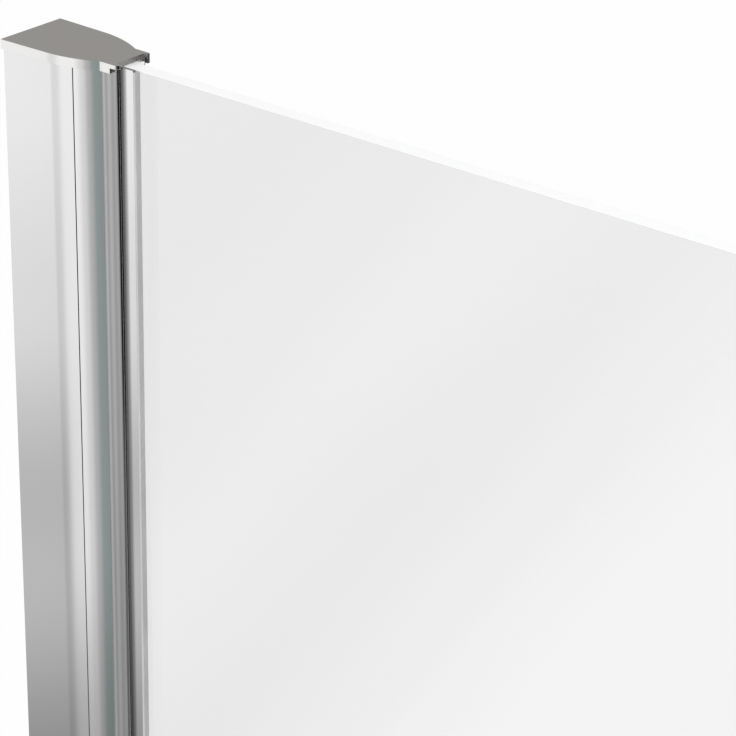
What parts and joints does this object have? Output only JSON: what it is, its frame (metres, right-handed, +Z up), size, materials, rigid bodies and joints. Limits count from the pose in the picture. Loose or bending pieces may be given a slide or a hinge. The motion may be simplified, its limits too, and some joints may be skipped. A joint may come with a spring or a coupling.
{
  "type": "walk-in shower screen",
  "caption": "Walk-in shower screen: a clear glass panel in a polished two-part wall profile with a cap, steadied at its free end by a bar to the next wall.",
  "frame": {"origin": "bottom of the wall face of the wall channel, at floor level, on the middle plane of the glass", "axes": "+X from the wall along the glass to its free edge, +Y across the glass towards the bar, +Z up"},
  "size_m": [0.885, 1.0155, 1.962],
  "materials": {
    "polished_aluminium": "bright polished and anodised",
    "cap_chrome": "polished",
    "bar_chrome": "polished",
    "clear_glass": "clear",
    "clear_vinyl": "clear",
    "black_rubber": "matt",
    "grey_plastic": "matt",
    "white_nylon": "matt",
    "stainless_steel": "brushed"
  },
  "bodies": {
    "wall": {"wall_channel": "polished_aluminium"},
    "panel": {"glazing_profile": "polished_aluminium", "glass_panel": "clear_glass", "near_gasket": "clear_vinyl", "far_gasket": "clear_vinyl", "glass_packers": "black_rubber", "glass_foot_pad": "black_rubber", "profile_foot": "grey_plastic", "top_cap": "cap_chrome", "locking_screws": "stainless_steel", "locking_washers": "white_nylon", "screw_covers": "cap_chrome", "bottom_seal": "clear_vinyl", "glass_clamp": "bar_chrome", "clamp_liner": "black_rubber", "clamp_screws": "stainless_steel", "bar_screw": "stainless_steel", "support_bar": "bar_chrome", "wall_flange": "bar_chrome", "flange_screw": "stainless_steel"},
    "cover": {"flange_cover": "bar_chrome"}
  },
  "joints": [
    {"name": "width_adjust", "type": "slide", "parent": "wall", "child": "panel", "axis": [1, 0, 0], "range_m": [0, 0.015]},
    {"name": "cover_slide", "type": "slide", "parent": "panel", "child": "cover", "axis": [0, -1, 0], "range_m": [0, 0.94]}
  ]
}
